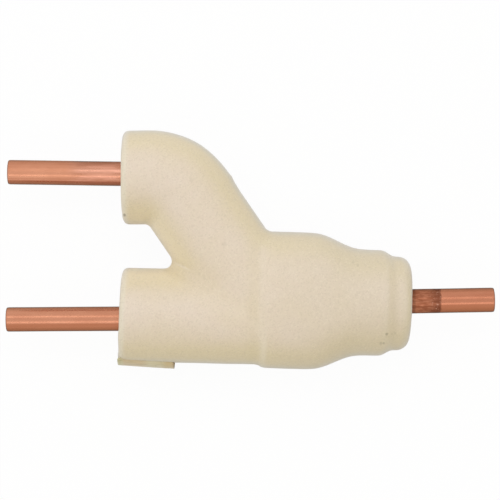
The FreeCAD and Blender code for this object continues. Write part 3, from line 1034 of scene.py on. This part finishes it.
# %% From path to mesh
def make_pipe(name, path, length, material):
    """Sweeps one pipe with the tree and freezes it into a mesh."""
    points = []
    edges = []
    values = {"ring_radius": [], "along": [], "bore": []}
    for inner in (False, True):
        first = len(points)
        for distance, radius in pipe_profile(length, inner):
            points.append(metres(*path(distance)))
            values["ring_radius"].append(radius * MM)
            values["along"].append(distance * MM)
            values["bore"].append(float(inner))
        edges += [(i, i + 1) for i in range(first, len(points) - 1)]
    stations = bpy.data.meshes.new(name + "_stations")
    stations.from_pydata(points, edges, [])
    store_values(stations, values)
    draft = linked(name + "_draft", stations)
    swept = draft.modifiers.new("sweep", "NODES")
    swept.node_group = sweep
    swept[sides_socket] = RING_SIDES
    swept[copper_socket] = material
    return frozen(draft, name)


# %% [markdown]
# A handled pipe isn't perfectly round and true. Fine waves of a few hundredths of a
# millimetre are too small to see as shape, but they bend the long reflections, which is what
# tells the eye that it looks at real tube.


# %% Waves in a pipe's wall
WALL_WAVE = 0.035             # their height in mm
WAVES_ALONG = 0.045           # waves to a millimetre of length
WAVES_ROUND = 0.16            # and of width
SEEDS = {"inlet": 0.0, "run": 7.3, "branch": 21.0}      # a different place in the noise for each


def handle(mesh, pipe):
    """Long shallow waves; also notes how far the end is and which way the wall leans."""
    own = read(mesh.attributes["pipe_space"].data, "vector", 3) / MM
    points = read(mesh.vertices, "co", 3) / MM
    facing = read(mesh.vertices, "normal", 3)
    in_bore = np.hypot(own[:, 1], own[:, 2]) < (pipe_radius + bore_radius) / 2
    outward = np.where(in_bore[:, None], -facing, facing)
    from_end = own[:, 0].max() - own[:, 0]
    scaled = own * (WAVES_ALONG, WAVES_ROUND, WAVES_ROUND) + (0.0, 0.0, SEEDS[pipe])
    wave = WALL_WAVE * np.array([noise.noise(Vector(spot)) for spot in scaled])
    wave *= soft(from_end, 1.0, 6.0) * soft(own[:, 0], 12.0, 16.0)
    write_points(mesh, points + outward * wave[:, None])
    store_values(mesh, {"from_end": from_end * MM, "lean": -facing[:, 1]})


# %% The three pipes
def straight_pipe(name):
    """The inlet or the run pipe, on the axis that its mount gives."""
    middle, way, length = axis_of(name + "_pipe_bore")
    behind = bell_length + flare_length
    start = middle - way * (length / 2 + behind)
    mesh = make_pipe("copper_" + name + "_pipe", straight_path(start, way), length + behind,
                     copper_of[name])
    handle(mesh, name)
    return show(mesh, name + "_pipe")


def branch_pipe():
    """The branch pipe: a straight beside the slanted leg, the bend, and the mount's axis."""
    middle, way, length = axis_of("branch_pipe_bore")
    corner = meeting(slant_foot, slant_way, middle, way)
    turn = math.acos(float(np.dot(slant_way, way)))
    behind = straight_before_bend + bell_length + flare_length
    start = corner - slant_way * (tangent_of(turn) + behind)
    mesh = make_pipe("copper_branch_pipe", bent_path(start, slant_way, corner, way),
                     behind + bend_radius * turn + length, copper_of["branch"])
    handle(mesh, "branch")
    return show(mesh, "branch_pipe")


for piece in (straight_pipe("inlet"), straight_pipe("run"), branch_pipe()):
    corners = np.array(piece.bound_box) / MM
    print(piece.name, len(piece.data.polygons), "faces, from", corners.min(axis=0).round(2), "to",
          corners.max(axis=0).round(2), "mm")

# %% [markdown]
# ## The hidden copper
# The formed body and the three rings of braze stay as the CAD made them. They only show in
# the gap round a pipe at the cover's ends, but they get their own finish all the same: dull
# heated copper for the body, and for the braze a yellower metal that froze in ripples.

# %% Body and braze
def braze_material():
    """Frozen braze alloy: brassy, dull and rippled."""
    material, tree, shader, place = new_material("braze alloy")
    ripple = cloud(tree, place, 1400.0, 2.0, 0.4, 1.2)
    colour = blend(tree, ripple, tone(196, 158, 108), tone(224, 190, 140))
    plug(tree, shader["Base Color"], colour)
    plug(tree, shader["Roughness"], calc(tree, "MULTIPLY_ADD", ripple, 0.2, 0.3))
    shader["Metallic"].default_value = 1.0
    emboss(tree, shader, 0.5, 0.0001, ripple)
    return material


def body_material():
    """Copper that has been in the flame: brown and pink clouds, quite dull."""
    material, tree, shader, place = new_material("flame-dulled copper")
    clouds = use(tree, mottle_group, {"Vector": place, "Scale": 90.0, "Contrast": 2.4})["Value"]
    colour = blend(tree, clouds, tone(128, 78, 58), tone(204, 136, 108))
    plug(tree, shader["Base Color"], colour)
    plug(tree, shader["Roughness"], calc(tree, "MULTIPLY_ADD", clouds, -0.15, 0.5))
    shader["Metallic"].default_value = 1.0
    emboss(tree, shader, 0.3, 0.0001, cloud(tree, place, 900.0, 3.0))
    return material


def coat(name, material):
    """Gives a CAD node its material."""
    nodes[name].data.materials.clear()
    nodes[name].data.materials.append(material)


coat("branch_body", body_material())
braze = braze_material()
for name in ("braze_inlet", "braze_run", "braze_branch"):
    coat(name, braze)
print("kept from CAD:", "branch_body and three brazes")

# %% [markdown]
# ## The strip of tape
# The strip bridges the parting line on the run arm. Its long edges are stuck to the foam and
# its middle stands off in a bow that grows towards the loose end. A grid of points follows
# the same bow as the CAD piece, with the corners cut round and a slight crinkle.


# %% Measures of the tape
TAPE_LENGTH = 28.9
TAPE_OVERHANG = 1.1           # past the arm's end face
TAPE_THICKNESS = 0.4
THIN_EDGE = 0.35              # its edges' thickness, as a share of the middle's
TAPE_SEAT = 0.25              # above the foam, with its edges pressed in a little
EDGE_SEAT = -0.06
CRINKLE = 0.07
CORNERS = (2.2, 0.9)          # radius at the end face and at the loose end
STATIONS = (0.0, 0.13, 1.0)   # shares of the tape's length
BOW = (1.3, 1.53, 3.1)        # mm off the foam, at each station
UPPER = (31.0, 21.0, 12.5)    # degrees above the parting plane
LOWER = (25.0, 26.6, 37.0)    # and below it
COLUMNS = 72
ROWS = 40


# %% The tape's sheet
def tape_point(u, v, lift):
    """A point of the tape: u along it from the end face, v across from below to above."""
    along = -TAPE_OVERHANG + TAPE_LENGTH * u
    bow, upper, lower = (float(np.interp(u, STATIONS, values)) for values in (BOW, UPPER, LOWER))
    angle = math.radians(upper * v - lower * (1 - v))
    radius = arm_radius + lift + bow * 4 * v * (1 - v)
    axis = np.array([math.cos(run_arm_turn), -math.sin(run_arm_turn)])
    side = np.array([-axis[1], axis[0]])
    x, y = run_arm_end + axis * along - side * radius * math.cos(angle)
    return metres(x, y, middle_height + radius * math.sin(angle))


def rounded_off(near_edge, corner):
    """How much of the tape's length a round corner takes away, this near to its long edge."""
    rest = max(corner - near_edge, 0.0)
    return (corner - math.sqrt(corner ** 2 - rest ** 2)) / TAPE_LENGTH


def tape_layer(outer):
    """One face of the sheet as a grid of points."""
    width = arm_radius * math.radians(UPPER[1] + LOWER[1])
    points = []
    for i in range(COLUMNS + 1):
        for j in range(ROWS + 1):
            v = j / ROWS
            near_edge = min(v, 1 - v) * width
            first, last = (rounded_off(near_edge, corner) for corner in CORNERS)
            u = first + (1 - first - last) * i / COLUMNS
            free = float(soft(near_edge, 0.0, 1.6))
            crinkle = noise.noise(Vector((u * 9.0, v * 4.0, 3.0))) * math.sin(math.pi * v)
            lift = EDGE_SEAT + (TAPE_SEAT - EDGE_SEAT) * free + CRINKLE * crinkle
            if outer:
                lift += TAPE_THICKNESS * (THIN_EDGE + (1 - THIN_EDGE) * free)
            points.append(tape_point(u, v, lift))
    return points


# %% [markdown]
# The two grids are joined by a row of faces all the way round their edge, so the strip is a
# closed thin body. Its normals are worked out last, all of them outwards.

# %% The closed strip
def tape_mesh():
    """A closed thin sheet, thinner towards its stuck edges."""
    line = ROWS + 1
    layer = line * (COLUMNS + 1)
    faces = []
    for i in range(COLUMNS):
        for j in range(ROWS):
            corner = i * line + j
            face = (corner, corner + line, corner + line + 1, corner + 1)
            faces.append(face)
            faces.append(tuple(point + layer for point in reversed(face)))
    rim = [i * line for i in range(COLUMNS + 1)]
    rim += [COLUMNS * line + j for j in range(1, line)]
    rim += [i * line + ROWS for i in range(COLUMNS - 1, -1, -1)]
    rim += list(range(ROWS - 1, 0, -1))
    for a, b in zip(rim, rim[1:] + rim[:1]):
        faces.append((b, a, a + layer, b + layer))
    mesh = bpy.data.meshes.new("tape_strip")
    mesh.from_pydata(tape_layer(True) + tape_layer(False), [], faces)
    closed = bmesh.new()
    closed.from_mesh(mesh)
    bmesh.ops.recalc_face_normals(closed, faces=closed.faces)
    closed.to_mesh(mesh)
    closed.free()
    mesh.shade_smooth()
    return mesh


# %% [markdown]
# The film is glossy and cream. The glue and the foam under it tint it, so its tone changes
# along its length: olive at the end face, then tan, and amber at the loose end.

# %% The tape's material
TAPE_COATS = {                # largest share, tone
    "tan": (0.60, (210, 184, 148)),
    "olive": (0.70, (200, 194, 148)),
    "amber": (0.75, (207, 182, 134)),
    "loose edge": (0.60, (160, 136, 104)),
    "glue": (0.30, (160, 150, 104)),
}


def tape_material():
    """Cream film with glue under it, amber towards the loose end."""
    material, tree, shader, place = new_material("cream film tape")
    clouds = use(tree, mottle_group, {"Vector": place, "Scale": 160.0, "Contrast": 1.8})["Value"]
    x = split(tree, place)["X"]
    wander = calc(tree, "MULTIPLY_ADD", clouds, 0.003, x)
    streaks = cloud(tree, stretch(tree, place, (0.12, 1.0, 1.0)), 900.0, 2.0)
    masks = {
        "tan": times(tree, ramp(tree, wander, -0.0655, -0.063),
                     ramp(tree, wander, -0.050, -0.055)),
        "olive": ramp(tree, wander, -0.0635, -0.0665),
        "amber": ramp(tree, wander, -0.046, -0.041),
        "loose edge": ramp(tree, x, -0.041, -0.0396),
        "glue": ramp(tree, streaks, 0.55, 0.68),
    }
    colour = blend(tree, clouds, tone(212, 199, 162), tone(218, 208, 178))
    for key, mask in masks.items():
        colour = lay(tree, colour, mask, TAPE_COATS[key])
    plug(tree, shader["Base Color"], colour)
    plug(tree, shader["Roughness"], calc(tree, "MULTIPLY_ADD", clouds, 0.15, 0.24))
    shader["Coat Weight"].default_value = 0.3
    shader["Coat Roughness"].default_value = 0.15
    emboss(tree, shader, 0.12, 0.0001, streaks)
    return material


strip = tape_mesh()
strip.materials.append(tape_material())
show(strip, "closing_tape")
print("tape strip with", len(strip.polygons), "faces")

# %% [markdown]
# ## Floor, light and camera
# The joint lies on pale paper in a bright room. To the camera the paper and the room are
# plain white, and the copper reflects that white too, the paper less than the room above it.


# %% Floor
PAPER_HALF_SIDE = 3.0         # metres
SEEN_AS_WHITE = 0.95          # how much of the paper the camera sees as plain white
MIRRORED_AS_WHITE = 0.2       # and the copper


def mirror_rays(tree, rays):
    """1 for the rays that metal and glass send out."""
    return calc(tree, "MAXIMUM", rays["Is Glossy Ray"], rays["Is Transmission Ray"])


def floor_material():
    """Pale paper that the camera sees as white, but for the joint's faint shadow."""
    material, tree, shader, place = new_material("white paper")
    rays = put(tree, "ShaderNodeLightPath").outputs
    pale = blend(tree, cloud(tree, place, 900.0, 2.0), tone(231, 231, 229), tone(238, 238, 236))
    plug(tree, shader["Base Color"], blend(tree, rays["Is Camera Ray"], pale, tone(250, 250, 250)))
    shader["Roughness"].default_value = 0.8
    glow = put(tree, "ShaderNodeEmission", {"Color": (1.0, 1.0, 1.0, 1.0), "Strength": 1.0})
    white = calc(tree, "MAXIMUM", times(tree, rays["Is Camera Ray"], SEEN_AS_WHITE),
                 times(tree, mirror_rays(tree, rays), MIRRORED_AS_WHITE))
    paper = shader["Base Color"].node.outputs[0]
    mixed = put(tree, "ShaderNodeMixShader", {0: white, 1: paper, 2: glow.outputs[0]})
    output = next(node for node in tree.nodes if node.type == "OUTPUT_MATERIAL")
    plug(tree, output.inputs["Surface"], mixed.outputs[0])
    return material


sheet = bpy.data.meshes.new("paper_floor")
corners = [(x * PAPER_HALF_SIDE, y * PAPER_HALF_SIDE, 0.0)
           for x, y in ((-1, -1), (1, -1), (1, 1), (-1, 1))]
sheet.from_pydata(corners, [], [(0, 1, 2, 3)])
sheet.materials.append(floor_material())
linked("paper_floor", sheet)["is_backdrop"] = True

# %% [markdown]
# Everything but the camera and the copper's reflections gets a softer light: the room at
# about four fifths, dimmer and yellower towards the front, and a large panel overhead and a
# little behind. The panel makes no highlight. Two narrow strips do: mirrored in a pipe they
# become the long fine lines that are typical of drawn copper.

# %% The room
ROOM = 0.79                   # how bright the room is as a lamp
FRONT = (0.5, -0.87, 0.0)     # towards the dimmer side
DIM = (0.67, 0.62, 0.43, 1.0)
world = bpy.data.worlds.new("bright room")
world.use_nodes = True
room = world.node_tree
background = next(node for node in room.nodes if node.type == "BACKGROUND")
rays = put(room, "ShaderNodeLightPath").outputs
white = calc(room, "MAXIMUM", rays["Is Camera Ray"], mirror_rays(room, rays))
plug(room, background.inputs["Strength"], calc(room, "MULTIPLY_ADD", white, 1.0 - ROOM, ROOM))
direction = put(room, "ShaderNodeTexCoord").outputs["Generated"]
towards = put(room, "ShaderNodeVectorMath", {0: direction, 1: FRONT}, operation="DOT_PRODUCT")
less_mirrored = calc(room, "MULTIPLY_ADD", white, -0.5, towards.outputs["Value"])
unseen = calc(room, "SUBTRACT", 1.0, rays["Is Camera Ray"])
front = times(room, ramp(room, less_mirrored, 0.3, 0.65), unseen)
plug(room, background.inputs["Color"], blend(room, front, (1.0, 1.0, 1.0, 1.0), DIM))
bpy.context.scene.world = world
print("room with", len(room.nodes), "nodes")


# %% Lamps
def soft_lamp(name, place, size, power, mirrored=True):
    """A lamp that points at the joint; one that isn't mirrored makes no highlight."""
    lamp = bpy.data.lights.new(name, "AREA")
    lamp.shape = "RECTANGLE"
    lamp.size, lamp.size_y = size
    lamp.energy = power
    holder = linked(name, lamp)
    holder.location = place
    holder.rotation_euler = (-Vector(place)).to_track_quat("-Z", "Y").to_euler()
    holder.visible_glossy = mirrored


soft_lamp("overhead panel", (-0.20, 0.50, 1.2), (1.3, 0.7), 3.4, mirrored=False)
soft_lamp("front strip", (0.0, -0.63, 1.2), (1.5, 0.18), 0.92)
soft_lamp("back strip", (0.0, 0.51, 1.2), (1.5, 0.18), 0.8)
print("lamps:", ", ".join(lamp.name for lamp in bpy.data.lights))

# %% [markdown]
# The camera looks straight down from about a metre. A long lens keeps the pipes nearly
# parallel, but the tops of the arms still come a little nearer to it than the floor does.

# %% Camera
camera_data = bpy.data.cameras.new("camera")
camera_data.lens = 131.4
camera_data.sensor_width = 36.0
camera = linked("camera", camera_data)
camera.location = (-0.000181, -0.000038, 0.9775)
bpy.context.scene.camera = camera
bpy.context.scene.view_settings.view_transform = "Standard"
print("camera", round(camera.location.z, 4), "m above the floor")

# %% [markdown]
# ## Sizes
# The finish must not change the joint's size, so the box of the CAD model and the box of what
# is shown are set side by side, and how far each corner moved is printed.

# %% Sizes
shown_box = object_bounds()
sizes = {"cad": [list(map(float, corner)) for corner in cad_box],
         "shown": [list(map(float, corner)) for corner in shown_box]}
for i, which in enumerate(("low", "high")):
    change = (np.array(sizes["shown"][i]) - np.array(sizes["cad"][i])) / MM
    print(which, "corner moved by", change.round(3), "mm")
